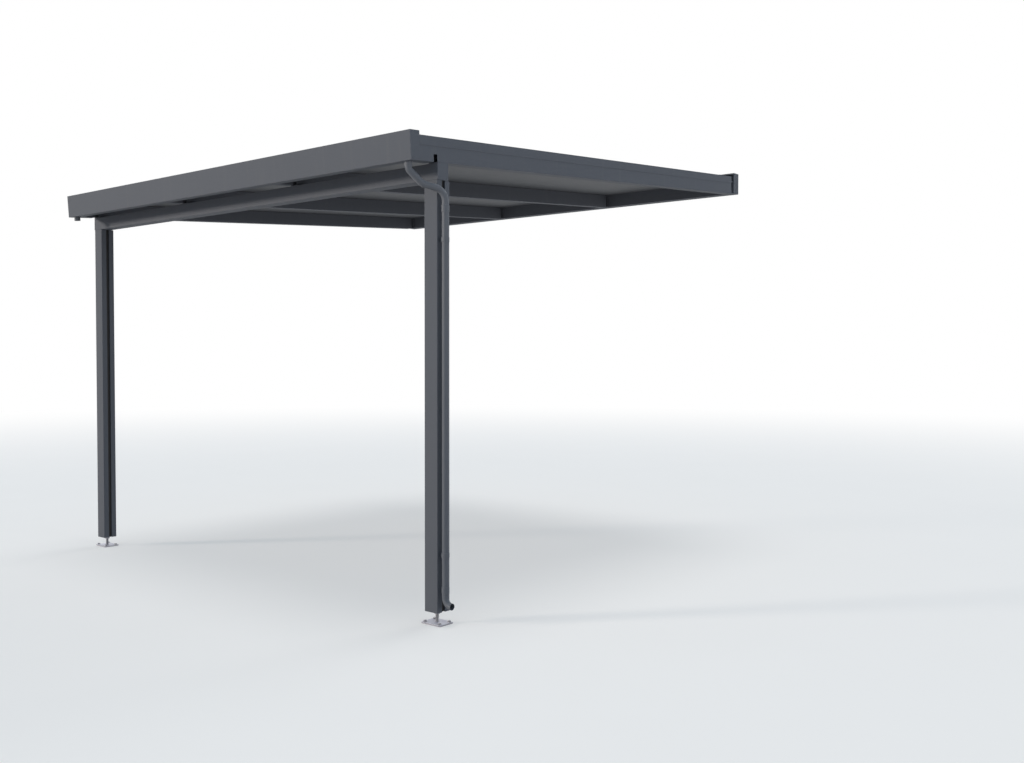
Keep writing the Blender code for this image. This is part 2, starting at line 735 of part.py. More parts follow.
def clip_loops():
    """Plan of a pipe clip: a ring with a stem that reaches into the post's slot."""
    post_face = POST_X + POST_SIZE / 2
    bore = PIPE_RADIUS + SEAT
    outer = bore + CLIP_THICKNESS
    half = CLIP_THICKNESS / 2
    reach = POST_Y - PIPE_Y
    tail = PIPE_X - (post_face - SLOT_DEPTH + SEAT)
    start = math.asin(half / outer)
    first = math.pi + start
    sweep = 2 * math.pi - 2 * start
    steps = 2 * PIPE_SIDES
    turns = [first + sweep * step / steps for step in range(steps + 1)]
    ring = [(PIPE_X + outer * math.cos(t), PIPE_Y + outer * math.sin(t)) for t in turns]
    knee = PIPE_X - (PIPE_STANDOFF - SEAT - CLIP_THICKNESS)
    face = knee - CLIP_THICKNESS
    stem = [
        (face, PIPE_Y + half),
        (face, PIPE_Y + reach + half),
        (PIPE_X - tail, PIPE_Y + reach + half),
        (PIPE_X - tail, PIPE_Y + reach - half),
        (face, PIPE_Y + reach - half),
    ]
    return [ring + stem, circle(PIPE_X, PIPE_Y, bore)]


def main():
    clear_scene()
    paint = finish("anthracite_paint", (0.092, 0.100, 0.114), 0.5, 0.0)
    infill = finish("roof_infill", (0.205, 0.202, 0.183), 0.55, 0.0)
    zinc = finish("zinc_plated_steel", (0.560, 0.570, 0.580), 0.38, 1.0)
    site = frame_empty("site", (0, 0, -ORIGIN_HEIGHT))
    roof = frame_empty("roof", (0, -ROOF_DEPTH, EAVES_HEIGHT), tilt=ROOF_FALL, parent=site)
    build_gutter(roof, paint)
    build_beams(roof, paint)
    build_panels(roof, infill, paint)
    build_carrier(site, paint)
    for name, x in (("left", -POST_X), ("right", POST_X)):
        build_post(site, name, x, paint, zinc)
    build_wall_plate(site, paint)
    build_brackets(site, paint)
    build_downpipe(site, paint)


main()
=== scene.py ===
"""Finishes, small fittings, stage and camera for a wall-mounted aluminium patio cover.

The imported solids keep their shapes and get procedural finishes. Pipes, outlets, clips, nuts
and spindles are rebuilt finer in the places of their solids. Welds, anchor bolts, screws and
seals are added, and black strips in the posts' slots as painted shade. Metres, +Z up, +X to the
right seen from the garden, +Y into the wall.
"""

import json
import math

import bmesh
import bpy
from bpy.props import FloatProperty, FloatVectorProperty, IntProperty, PointerProperty
from bpy.types import Operator, Panel, PropertyGroup
from mathutils import Matrix, Vector


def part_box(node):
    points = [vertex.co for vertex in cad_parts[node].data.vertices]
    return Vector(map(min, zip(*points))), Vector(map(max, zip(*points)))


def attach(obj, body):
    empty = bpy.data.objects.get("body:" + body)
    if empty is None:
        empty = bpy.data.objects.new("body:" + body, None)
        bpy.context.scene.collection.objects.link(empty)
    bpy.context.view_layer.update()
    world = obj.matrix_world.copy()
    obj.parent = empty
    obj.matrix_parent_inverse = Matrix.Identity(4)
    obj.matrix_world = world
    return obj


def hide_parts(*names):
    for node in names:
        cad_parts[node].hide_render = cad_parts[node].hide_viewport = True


bl_info = {
    "name": "Patio cover finishes",
    "version": (1, 0, 0),
    "blender": (4, 5, 0),
    "location": "3D View > Sidebar > Patio cover",
    "description": "Finishes, fittings, stage and camera for a wall-mounted patio cover",
    "category": "Object",
}

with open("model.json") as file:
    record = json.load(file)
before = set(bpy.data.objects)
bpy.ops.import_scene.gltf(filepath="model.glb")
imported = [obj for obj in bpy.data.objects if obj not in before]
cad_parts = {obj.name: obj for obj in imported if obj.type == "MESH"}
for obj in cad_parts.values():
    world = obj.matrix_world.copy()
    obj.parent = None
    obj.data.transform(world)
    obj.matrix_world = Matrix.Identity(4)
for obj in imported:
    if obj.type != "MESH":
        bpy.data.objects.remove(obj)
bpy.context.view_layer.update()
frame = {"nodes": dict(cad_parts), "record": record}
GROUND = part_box("foot_plate_right")[0].z
SIDES = ("left", "right")
UP = Vector((0, 0, 1))

# Small sizes in metres. HAIR keeps faces apart that would else lie on each other.
HAIR = 0.0001
MERGE_DISTANCE = 0.00001
OUTLET_RIM = 0.0045
OUTLET_FLANGE = 0.003
WELD_SINK = 0.001
NUT_PLAY = 0.0003
BOLT_PLAY = 0.0003
BOLT_CROWN = 0.0004
WASHER_ROUND = 0.0004
SEAL_START = 0.001
SEAL_STOP = 0.004
WALL_SEAL = 0.0015
STRIP_END = 0.002
CLIP_PLAY = 0.001

# How far the finer pieces may leave the places of their solids.
PIPE_SLACK = 0.0015
THREAD_SLACK = 0.0005
NUT_SLACK = 0.001

# Facets round small pieces.
HEXAGON_SIDES = 48
WASHER_SIDES = 36
WELD_SIDES = 40
SCREW_SIDES = 20
BEAD_SIDES = 10
THREAD_SIDES = 36
THREAD_RINGS = 10

# How strongly the effects show in the finishes, from 0 to 1.
GRAIN_SHOWS = 0.16
RAIN_SHOWS = 0.12
DUST_SHOWS = 0.5
# The paler edge band is partly wear, partly a painted highlight.
EDGE_WEAR_AND_HIGHLIGHT_SHOWS = 0.35
DRAWN_SHOWS = 0.25
INFILL_DUST_SHOWS = 0.6
DIRT_SHOWS = 0.3
BLOOM_SHOWS = 0.4
FRAME_PEEL = 0.18
PIPE_PEEL = 0.1

# Angles, and shapes of fittings as shares of their own sizes.
SHARP_ANGLE = math.radians(35)
CHAMFER = math.radians(30)
CHAMFER_START = 0.985
CROWN_TOP = 0.6
THREAD_LAND = 0.1
WELD_THROAT = (0.45, 0.5)
BOLT_HOLE = 0.3
SCREW_PROFILE = ((1, 0), (1, 0.35), (0.86, 0.75), (0.55, 1), (0.36, 1), (0.30, 0.35))
RIB_PLACE = 0.45

# The soft lights: their setting for strength, then spread, height and turn in degrees.
SOFT_LIGHTS = {
    "side_light": ("side_strength", 20, 6, 92),
    "back_light": ("back_strength", 28, 30, 180),
    "top_light": ("top_strength", 28, 90, 0),
}
MAIN_COLOR = (1.0, 0.91, 0.81)
SOFT_COLOR = (1.0, 0.98, 0.96)
WHITE = (1, 1, 1, 1)

# The floor's facets, middle and drop below the feet, and the camera's film and reach.
FLOOR_SIDES = 96
FLOOR_MIDDLE = -1.8
FLOOR_DROP = 0.0005
SENSOR_WIDTH = 36.0
CAMERA_REACH = 200.0


class Signal:
    """A socket that can stand in arithmetic. Each operation adds one Math node."""

    def __init__(self, tree, socket):
        self.tree = tree
        self.socket = socket

    def combine(self, operation, first, second):
        return self.tree.node("Math", {"operation": operation}, {0: first, 1: second})

    def __add__(self, other):
        return self.combine("ADD", self, other)

    __radd__ = __add__

    def __sub__(self, other):
        return self.combine("SUBTRACT", self, other)

    def __rsub__(self, other):
        return self.combine("SUBTRACT", other, self)

    def __mul__(self, other):
        return self.combine("MULTIPLY", self, other)


class NodeSheet:
    """The node tree of one material or world, filled from expressions."""

    def __init__(self, owner):
        self.owner = owner
        owner.use_nodes = True
        self.tree = owner.node_tree
        self.tree.nodes.clear()

    def node(self, kind, settings=None, inputs=None, output=0):
        """Add a shader node: its settings first, then its sockets' values or links."""
        made = self.tree.nodes.new("ShaderNode" + kind)
        for name, value in (settings or {}).items():
            setattr(made, name, value)
        for name, value in (inputs or {}).items():
            socket = made.inputs[name]
            if isinstance(value, Signal):
                self.tree.links.new(value.socket, socket)
            else:
                socket.default_value = value
        return Signal(self, made.outputs[output]) if made.outputs else None

    def place(self, scale=(1, 1, 1)):
        """Position on the object in metres, stretched by a scale for each axis."""
        where = self.node("TexCoord", output="Object")
        return self.node("VectorMath", {"operation": "MULTIPLY"}, {0: where, 1: scale})

    def noise(self, cells, detail=2.0, stretch=(1, 1, 1)):
        """Noise from 0 to 1 with so many cells to the metre."""
        inputs = {"Vector": self.place(stretch), "Scale": cells, "Detail": detail}
        return self.node("TexNoise", None, inputs)

    def ease(self, value, low, high):
        """Smooth step from 0 at low to 1 at high."""
        inputs = {"Value": value, "From Min": low, "From Max": high}
        return self.node("MapRange", {"interpolation_type": "SMOOTHSTEP"}, inputs)

    def blend(self, factor, first, second):
        """Mix of two colours."""
        inputs = {0: factor, 6: first, 7: second}
        return self.node("Mix", {"data_type": "RGBA"}, inputs, output=2)

    def facing_up(self):
        """1 on level faces that look up, 0 on the others."""
        normal = self.node("NewGeometry", output="True Normal")
        height = self.node("SeparateXYZ", None, {0: normal}, output="Z")
        return self.ease(height, low=0.6, high=0.95)

    def paler_edge_band(self, radius):
        """1 along outer edges, from how far a rounded normal leans off the face's own."""
        soft = self.node("Bevel", {"samples": 4}, {"Radius": radius})
        flat = self.node("NewGeometry", output="True Normal")
        sides = {0: soft, 1: flat}
        match = self.node("VectorMath", {"operation": "DOT_PRODUCT"}, sides, "Value")
        return self.ease(1 - match, low=0.02, high=0.2)

    def bump(self, height, distance, strength):
        """Normal bent by a height from 0 to 1 over a distance in metres."""
        inputs = {"Height": height, "Distance": distance, "Strength": strength}
        return self.node("Bump", None, inputs)

    def glow(self, color, kind="Emission"):
        """Plain light of a colour, from a surface or as a background."""
        return self.node(kind, None, {"Color": color, "Strength": 1.0})

    def mix(self, factor, first, second):
        """Mix of two shaders."""
        return self.node("MixShader", None, {0: factor, 1: first, 2: second})

    def surface(self, color, roughness, normal, more=None):
        """Principled shader into the material's output. Returns the material."""
        inputs = {"Base Color": color, "Roughness": roughness, **(more or {}), "Normal": normal}
        shader = self.node("BsdfPrincipled", None, inputs)
        self.node("OutputMaterial", None, {"Surface": shader})
        return self.owner


def tinted(color, gain=1.0):
    """The colour made lighter or darker, as a socket's four numbers."""
    return tuple(min(1.0, part * gain) for part in color) + (1.0,)


def new_sheet(name):
    """Node sheet of a new material."""
    return NodeSheet(bpy.data.materials.new(name))


def powder_coat(name, settings, color, roughness, peel):
    """Powder coat: fine grain, faint orange peel, dust on top, rain marks, paler edges as wear and
    painted highlight.
    """
    sheet = new_sheet(name)
    grain = sheet.noise(cells=1 / settings.grain, detail=1.0)
    skin = sheet.noise(cells=peel / settings.grain, detail=0.0)
    cloud = sheet.noise(cells=1.7, detail=3.0)
    rain = sheet.noise(cells=24.0, detail=3.0, stretch=(1, 1, 0.05))
    dust = sheet.facing_up() * sheet.noise(cells=9.0, detail=4.0)
    streak = sheet.ease(rain, low=0.5, high=0.8) * settings.weathering
    shade = sheet.blend(cloud, tinted(color, 0.95), tinted(color, 1.05))
    shade = sheet.blend(grain * GRAIN_SHOWS, shade, tinted(color, 1.6))
    shade = sheet.blend(streak * RAIN_SHOWS, shade, tinted(settings.dust, 0.8))
    shade = sheet.blend(dust * settings.weathering * DUST_SHOWS, shade, tinted(settings.dust))
    # Paler band along the outer edges: partly edge wear, partly a painted edge highlight.
    edge_wear_and_highlight = sheet.paler_edge_band(settings.edge)
    shade = sheet.blend(edge_wear_and_highlight * EDGE_WEAR_AND_HIGHLIGHT_SHOWS, shade, tinted(color, 1.7))
    rough = roughness + grain * 0.1 + dust * 0.1 - streak * 0.05
    relief = settings.grain * 0.12
    normal = sheet.bump(grain * 0.6 + skin, distance=relief, strength=0.5)
    return sheet.surface(shade, rough, normal, {"Specular IOR Level": settings.paint_shine})


def infill_sheet(name, settings, color):
    """Coated infill sheet: soft cloudiness, fine drawn lines down the slope and faint waves."""
    sheet = new_sheet(name)
    cloud = sheet.noise(cells=2.2, detail=4.0)
    drawn = sheet.noise(cells=160.0, detail=2.0, stretch=(1, 0.01, 1))
    speck = sheet.noise(cells=900.0, detail=1.0)
    wave = sheet.noise(cells=14.0, detail=1.0, stretch=(1, 0.2, 1))
    dust = sheet.facing_up() * sheet.noise(cells=6.0, detail=4.0)
    settled = dust * settings.weathering * INFILL_DUST_SHOWS
    shade = sheet.blend(cloud, tinted(color, 0.93), tinted(color, 1.07))
    shade = sheet.blend(drawn * DRAWN_SHOWS, shade, tinted(color, 0.85))
    shade = sheet.blend(settled, shade, tinted(settings.dust))
    relief = wave * 2.0 + drawn * 0.4 + speck * 0.1
    rough = 0.5 + drawn * 0.12 + dust * 0.15
    normal = sheet.bump(relief, distance=0.0005, strength=0.3)
    return sheet.surface(shade, rough, normal, {"Specular IOR Level": settings.paint_shine})


def zinc_plate(name, settings, color):
    """Bright zinc plating: small cloudy spangle, fine scratches, dirty patches, and sides painted
    darker as shade.
    """
    sheet = new_sheet(name)
    crystals = {"Vector": sheet.place(), "Scale": 1 / settings.spangle}
    cells = sheet.node("TexVoronoi", {"feature": "F1"}, crystals, output="Color")
    tone = sheet.node("SeparateColor", None, {0: cells}, output="Red")
    cloud = sheet.noise(cells=55.0, detail=4.0)
    scratch = sheet.noise(cells=700.0, detail=2.0, stretch=(1, 0.08, 0.3))
    dirt = sheet.ease(sheet.noise(cells=38.0, detail=5.0), low=0.55, high=0.75)
    shade = sheet.blend(tone * 0.5 + cloud * 0.5, tinted(color, 0.86), tinted(color, 1.08))
    shade = sheet.blend(dirt * settings.weathering * DIRT_SHOWS, shade, tinted(color, 0.5))
    # Painted shade: faces that don't look up are darkened, to 45 per cent of their colour on
    # upright sides.
    shade = sheet.blend(sheet.facing_up() * 0.55 + 0.45, tinted(color, 0.0), shade)
    rough = 0.4 + cloud * 0.12 + tone * 0.06 + dirt * 0.1
    metal = 0.5 - dirt * 0.25
    normal = sheet.bump(scratch + tone * 0.3, distance=0.0001, strength=0.35)
    return sheet.surface(shade, rough, normal, {"Metallic": metal})


def black_rubber(name, _settings, color):
    """Extruded rubber seal: matt, fine-grained, with a chalky bloom."""
    sheet = new_sheet(name)
    grain = sheet.noise(cells=1500.0, detail=2.0)
    bloom = sheet.ease(sheet.noise(cells=25.0, detail=4.0), low=0.45, high=0.8)
    shade = sheet.blend(bloom * BLOOM_SHOWS, tinted(color), tinted(color, 2.2))
    rough = 0.62 + grain * 0.2 + bloom * 0.1
    return sheet.surface(shade, rough, sheet.bump(grain, distance=0.00008, strength=0.4))


def finish_named(name):
    """The named finish, made the first time that it is asked for."""
    made = bpy.data.materials.get(name)
    if made:
        return made
    settings = bpy.context.scene.patio_finishes
    frame_coat = (powder_coat, settings.paint, settings.paint_roughness, FRAME_PEEL)
    pipe_coat = (powder_coat, settings.pipe_paint, settings.pipe_roughness, PIPE_PEEL)
    finishes = {
        "anthracite_powder_coat": frame_coat,
        "anthracite_pipe_coat": pipe_coat,
        "grey_infill": (infill_sheet, settings.infill),
        "bright_zinc": (zinc_plate, settings.zinc),
        "oiled_thread": (zinc_plate, settings.thread),
        "black_rubber": (black_rubber, settings.rubber),
    }
    maker, *values = finishes[name]
    return maker(name, settings, *values)


FINISH_OF_SLOT = {
    "frame_paint": "anthracite_powder_coat",
    "pipe_paint": "anthracite_pipe_coat",
    "roof_infill": "grey_infill",
    "zinc_steel": "bright_zinc",
}


def coat(slot):
    """Give the CAD nodes of one slot of the record its finish, and return them."""
    rows = frame["record"]["subparts"]
    nodes = [frame["nodes"][row["node"]] for row in rows if row["material_slot"] == slot]
    if not nodes:
        raise RuntimeError("no CAD node takes its finish from " + slot)
    for node in nodes:
        node.data.materials.clear()
        node.data.materials.append(finish_named(FINISH_OF_SLOT[slot]))
    return nodes


def break_edges(node, width):
    """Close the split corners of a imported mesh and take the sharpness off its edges."""
    weld = node.modifiers.new("close_corners", "WELD")
    weld.merge_threshold = MERGE_DISTANCE
    bevel = node.modifiers.new("broken_edges", "BEVEL")
    bevel.width = width
    bevel.segments = 2
    bevel.limit_method = "ANGLE"
    bevel.angle_limit = SHARP_ANGLE


def add_piece(name, bm, material, node=None, slack=0):
    """Turn a bmesh into a piece that rides on the cover, in a CAD node's place if one is named."""
    bmesh.ops.recalc_face_normals(bm, faces=bm.faces)
    mesh = bpy.data.meshes.new(name)
    bm.to_mesh(mesh)
    bm.free()
    mesh.shade_smooth()
    mesh.set_sharp_from_angle(angle=SHARP_ANGLE)
    mesh.materials.append(finish_named(material))
    piece = bpy.data.objects.new(name, mesh)
    bpy.context.scene.collection.objects.link(piece)
    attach(piece, "root")
    if node:
        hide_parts(node)
        keep_place(piece, node, slack)


def keep_place(piece, node, slack):
    """Stop if a finer piece has left the place of the CAD node that it stands for."""
    low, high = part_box(node)
    points = [vertex.co for vertex in piece.data.vertices]
    for axis in range(3):
        ends = (min(p[axis] for p in points) - low[axis], max(p[axis] for p in points) - high[axis])
        if max(abs(end) for end in ends) > slack:
            raise RuntimeError(piece.name + " has left the place of " + node)


def skin(bm, loops, closed=False):
    """Join loops of equally many points with faces, and close the chain or cap its ends."""
    rows = [[bm.verts.new(point) for point in loop] for loop in loops]
    first = 0 if closed else 1
    for index in range(first, len(rows)):
        before = rows[index - 1]
        row = rows[index]
        for corner in range(len(row)):
            bm.faces.new((before[corner - 1], before[corner], row[corner], row[corner - 1]))
    if not closed:
        bm.faces.new(rows[0])
        bm.faces.new(reversed(rows[-1]))


def circle(centre, axis, radius, sides, start=None):
    """Points round a circle that looks along an axis."""
    across = start or axis.orthogonal().normalized()
    other = axis.cross(across)
    turns = [2 * math.pi * step / sides for step in range(sides)]
    return [centre + radius * (across * math.cos(t) + other * math.sin(t)) for t in turns]


def turned(bm, centre, axis, profile, sides, closed=False):
    """Turned shape from pairs of a radius and a height along the axis."""
    loops = [circle(centre + axis * height, axis, radius, sides) for radius, height in profile]
    skin(bm, loops, closed)


def hexagon_radius(turn, flats):
    """Distance from a hexagon's middle to its outline in one direction."""
    sixth = math.pi / 3
    return flats / 2 / math.cos((turn % sixth) - sixth / 2)


def hexagon_body(bm, centre, flats, height, bore=0, shank=0, depth=0, crown=0):
    """Upright hexagon with chamfered corners: a nut with a bore, or a bolt with its shank."""
    inscribed = flats / 2 * CHAMFER_START

    def loop(radius_of, height_of):
        points = []
        for step in range(HEXAGON_SIDES):
            turn = 2 * math.pi * step / HEXAGON_SIDES
            radius = radius_of(turn)
            offset = Vector((radius * math.cos(turn), radius * math.sin(turn), height_of(turn)))
            points.append(centre + offset)
        return points

    def ring(radius, level):
        return loop(lambda turn: radius, lambda turn: level)

    def outline(turn):
        return hexagon_radius(turn, flats)

    def drop(turn):
        return (outline(turn) - inscribed) * math.tan(CHAMFER)

    low_out = loop(outline, drop)
    high_out = loop(outline, lambda turn: height - drop(turn))
    high_in = ring(inscribed, height)
    if bore:
        skin(bm, [ring(bore, 0), low_out, high_out, high_in, ring(bore, height)], closed=True)
    else:
        stem = [ring(shank, -depth), ring(shank, 0), ring(inscribed, 0)]
        dome = ring(inscribed * CROWN_TOP, height + crown)
        skin(bm, stem + [low_out, high_out, high_in, dome])


def bent_path(corners, radii, steps):
    """Points and directions of a path with a round bend of its own radius at each inner corner."""
    stations = [(corners[0], (corners[1] - corners[0]).normalized())]
    for before, here, after, radius in zip(corners, corners[1:], corners[2:], radii):
        back = (before - here).normalized()
        ahead = (after - here).normalized()
        half_angle = back.angle(ahead) / 2
        centre = here + (back + ahead).normalized() * radius / math.sin(half_angle)
        arm = here + back * radius / math.tan(half_angle) - centre
        axis = (-back).cross(ahead).normalized()
        bend = math.pi - 2 * half_angle
        for step in range(steps + 1):
            turn = Matrix.Rotation(bend * step / steps, 3, axis)
            stations.append((centre + turn @ arm, turn @ -back))
    stations.append((corners[-1], (corners[-1] - corners[-2]).normalized()))
    return stations


def tube(rings, sides):
    """Closed chain of rings, each a centre, a direction and a radius, skinned without twist."""
    loops = []
    side = Vector((0, 1, 0))
    for centre, direction, radius in rings:
        side = (side - direction * side.dot(direction)).normalized()
        loops.append(circle(centre, direction, radius, sides, start=side))
    bm = bmesh.new()
    skin(bm, loops, closed=True)
    return bm


class RoofSlope:
    """The roof's own directions: u up the slope, v square to it.

    Both start at the lower front edge of the panels.
    """

    def __init__(self):
        corners = [vertex.co for vertex in frame["nodes"]["roof_panel_middle"].data.vertices]
        lowest = min(corners, key=lambda point: point.z)
        rearmost = max(corners, key=lambda point: point.y)
        foremost = min(corners, key=lambda point: point.y)
        along = Vector((0, rearmost.y - lowest.y, rearmost.z - lowest.z))
        square = Vector((0, foremost.y - lowest.y, foremost.z - lowest.z))
        self.origin = Vector((0, lowest.y, lowest.z))
        self.length = along.length
        self.thickness = square.length
        self.along = along.normalized()
        self.square = square.normalized()

    def point(self, x, u, v):
        """Point in the frame's coordinates."""
        return self.origin + Vector((x, 0, 0)) + self.along * u + self.square * v

    def reach(self, node, axis):
        """Lowest and highest place of a CAD node along one of the roof's directions."""
        vertices = frame["nodes"][node].data.vertices
        places = [(vertex.co - self.origin).dot(axis) for vertex in vertices]
        return min(places), max(places)


roof = RoofSlope()


def bead(bm, start, end, radius, side=None):
    """Round strip of sealing rubber between two points."""
    axis = (end - start).normalized()
    skin(bm, [circle(point, axis, radius, BEAD_SIDES, start=side) for point in (start, end)])


def middle_of(node):
    """Middle of a CAD node's box."""
    low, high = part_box(node)
    return (low + high) / 2


def face_of(node, sign):
    """Where a CAD node ends in x: on its right for sign 1, on its left for -1."""
    low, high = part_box(node)
    return high.x if sign > 0 else low.x


def color_prop(name, description, default):
    """A colour setting."""
    return FloatVectorProperty(
        name=name, description=description, subtype="COLOR", min=0, max=1, default=default
    )


def length_prop(name, description, default, least=0):
    """A size setting in metres."""
    return FloatProperty(
        name=name, description=description, unit="LENGTH", min=least, default=default
    )


def angle_prop(name, description, degrees):
    """An angle setting, written in degrees."""
    return FloatProperty(
        name=name, description=description, unit="ROTATION", default=math.radians(degrees)
    )


def share_prop(name, description, default):
    """A setting from 0 to 1."""
    return FloatProperty(
        name=name, description=description, subtype="FACTOR", min=0, max=1, default=default
    )


def strength_prop(name, description, default):
    """The strength of a light."""
    return FloatProperty(name=name, description=description, min=0, default=default)


class PatioFinishSettings(PropertyGroup):
    """Colours and finishes."""

    paint: color_prop("Frame paint", "Powder coat on the extrusions", (0.099, 0.108, 0.127))
    pipe_paint: color_prop("Pipe paint", "Coat on the downpipe and outlets", (0.122, 0.132, 0.152))
    infill: color_prop("Roof infill", "Colour of the roof panels", (0.105, 0.110, 0.120))
    zinc: color_prop("Zinc", "Plated feet, nuts and welds", (0.72, 0.72, 0.80))
    thread: color_prop("Thread", "Oiled threads and anchor bolts", (0.56, 0.56, 0.60))
    rubber: color_prop("Rubber", "Colour of the sealing strips", (0.012, 0.012, 0.013))
    dust: color_prop("Dust", "Colour of what settles on level faces", (0.30, 0.29, 0.27))
    grain: length_prop("Grain", "Size of the powder coat's grain", 0.0011, least=0.0002)
    # The paler edge band is partly wear, partly a painted highlight.
    edge: length_prop("Edge", "Width of the paler band along the edges", 0.0018, least=0.0002)
    spangle: length_prop("Spangle", "Size of the zinc's crystals", 0.004, least=0.0005)
    paint_roughness: share_prop("Paint roughness", "Roughness of the coat on the frame", 0.62)
    pipe_roughness: share_prop("Pipe roughness", "Roughness of the coat on the pipes", 0.42)
    paint_shine: share_prop("Paint shine", "Strength of the paint's reflections", 0.15)
    weathering: share_prop("Weathering", "Amount of dust and rain marks", 0.35)
    broken_edge: length_prop("Broken edge", "Width of the bevel on the extrusions' edges", 0.0005)


class PatioPipeSettings(PropertyGroup):
    """Sizes of the downpipe's bends and sockets."""

    sides: IntProperty(name="Sides", description="Facets round a pipe", min=8, default=48)
    steps: IntProperty(name="Bend steps", description="Facets along a bend", min=2, default=24)
    wall: length_prop("Wall", "Wall of the pipes", 0.002)
    seat: length_prop("Seat", "Gap in the sockets", 0.0003)
    socket_length: length_prop("Socket length", "Reach of a socket over the next pipe", 0.035)
    socket_wall: length_prop("Socket wall", "Wall of the sockets", 0.0025)
    neck_insert: length_prop("Neck insert", "How far the neck goes up into the outlet", 0.015)
    neck_corner: length_prop("Neck corner", "From the gutter down to the first corner", 0.043)
    neck_knee_run: length_prop("Neck knee run", "From the outlet sideways to the knee", 0.082)
    neck_knee_drop: length_prop("Neck knee drop", "From the gutter down to the knee", 0.116)
    neck_tail: length_prop("Neck tail", "From the last corner to the straight pipe", 0.085)
    neck_bends: FloatVectorProperty(
        name="Neck bends",
        description="Radii of the neck's three bends",
        unit="LENGTH",
        default=(0.030, 0.060, 0.075),
    )
    shoe_corner: length_prop("Shoe corner", "From the straight pipe to the shoe's corner", 0.070)
    shoe_length: length_prop("Shoe length", "From the shoe's corner to its mouth", 0.050)
    shoe_bend: length_prop("Shoe bend", "Radius of the shoe's bend", 0.045)
    shoe_angle: angle_prop("Shoe angle", "Turn of the shoe away from the vertical", 88)


class PatioFittingSettings(PropertyGroup):
    """Sizes of threads, nuts, bolts, screws and seals."""

    pitch: length_prop("Pitch", "Pitch of the thread", 0.0025)
    thread_depth: length_prop("Thread depth", "Depth of the thread", 0.0014)
    washer_radius: length_prop("Washer radius", "Outer radius of the bolts' washers", 0.0115)
    washer_thickness: length_prop("Washer thickness", "Thickness of the bolts' washers", 0.002)
    bolt_flats: length_prop("Bolt flats", "Width across the flats of the bolts' heads", 0.016)
    bolt_height: length_prop("Bolt height", "Height of the anchor bolts' heads", 0.007)
    bolt_inset: length_prop("Bolt inset", "From a foot plate's edges to its holes", 0.018)
    screw_radius: length_prop("Screw radius", "Radius of the end plates' screw heads", 0.0038)
    screw_height: length_prop("Screw height", "Height of the end plates' screw heads", 0.0016)
    screw_inset: length_prop("Screw inset", "From an end plate's edges to its screws", 0.012)
    seal_radius: length_prop("Seal radius", "Radius of the seals along the panels", 0.0013)
    strip_width: length_prop("Strip width", "Width of the strips in the slots", 0.028)
    strip_thickness: length_prop("Strip thickness", "Thickness of these strips", 0.0015)
    slot_depth: length_prop("Slot depth", "Depth of the posts' slots", 0.014)
    weld_size: length_prop("Weld size", "Leg of the spindles' welds", 0.004)


class PatioStageSettings(PropertyGroup):
    """Floor, light and camera."""

    camera_place: FloatVectorProperty(
        name="Camera place",
        description="Where the picture is taken from",
        subtype="TRANSLATION",
        unit="LENGTH",
        default=(5.8167, -7.6387, GROUND + 1.5345),
    )
    camera_turn: angle_prop("Camera turn", "Turn to the left of straight ahead", 39.743)
    camera_dip: angle_prop("Camera dip", "Tilt of the camera below the horizon", 1.6207)
    camera_roll: angle_prop("Camera roll", "Lean of the camera, with its right side up", 0.08)
    lens: FloatProperty(
        name="Lens",
        description="Focal length on the camera's sensor",
        unit="CAMERA",
        default=35.903,
    )
    sun_turn: angle_prop("Sun turn", "Main light's place to the left of straight ahead", 40)
    sun_height: angle_prop("Sun height", "Main light's height above the horizon", 11.0)
    sun_spread: angle_prop("Sun spread", "Main light's width, which softens its shadows", 8)
    sun_strength: strength_prop("Sun strength", "Strength of the main light", 2.25)
    side_strength: strength_prop("Side strength", "Soft light from the right", 0.72)
    back_strength: strength_prop("Back strength", "Soft light from behind", 0.7)
    top_strength: strength_prop("Top strength", "Soft light from above", 0.9)
    sky_low: color_prop("Low sky", "Soft light from near the horizon", (0.28, 0.35, 0.42))
    sky_high: color_prop("High sky", "Soft light from higher up", (0.11, 0.20, 0.29))
    floor: color_prop("Floor", "Colour of the floor", (0.90, 0.89, 0.87))
    floor_white: share_prop("Floor white", "Share of white in the floor near the cover", 0.4)
    floor_glow: color_prop("Floor glow", "Light thrown up near the cover", (0.30, 0.30, 0.30))
    far_glow: color_prop("Far glow", "Light thrown up further off", (0.62, 0.61, 0.60))
    glow_start: length_prop("Glow start", "Where the thrown light starts to grow", 3.5)
    glow_end: length_prop("Glow end", "Where the thrown light is full", 7.0)
    floor_radius: length_prop("Floor radius", "Radius of the floor", 60.0)
    fade_start: length_prop("Fade start", "Where the floor starts to turn white", 5.0)
    fade_end: length_prop("Fade end", "Where the floor is white", 22.0)


class PATIO_OT_coat_frame(Operator):
    """Powder coat the extrusions and break their edges"""

    bl_idname = "patio.coat_frame"
    bl_label = "Coat the frame"

    def execute(self, context):
        for node in coat("frame_paint"):
            break_edges(node, context.scene.patio_finishes.broken_edge)
        return {"FINISHED"}


class PATIO_OT_coat_infill(Operator):
    """Finish the roof panels"""

    bl_idname = "patio.coat_infill"
    bl_label = "Finish the roof panels"

    def execute(self, context):
        coat("roof_infill")
        return {"FINISHED"}


class PATIO_OT_coat_pipes(Operator):
    """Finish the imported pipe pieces"""

    bl_idname = "patio.coat_pipes"
    bl_label = "Finish the packed pipes"

    def execute(self, context):
        coat("pipe_paint")
        return {"FINISHED"}


class PATIO_OT_plate_feet(Operator):
    """Zinc plate the feet"""

    bl_idname = "patio.plate_feet"
    bl_label = "Plate the feet"

    def execute(self, context):
        coat("zinc_steel")
        width = context.scene.patio_finishes.broken_edge
        for side in SIDES:
            break_edges(frame["nodes"]["foot_plate_" + side], width)
        return {"FINISHED"}


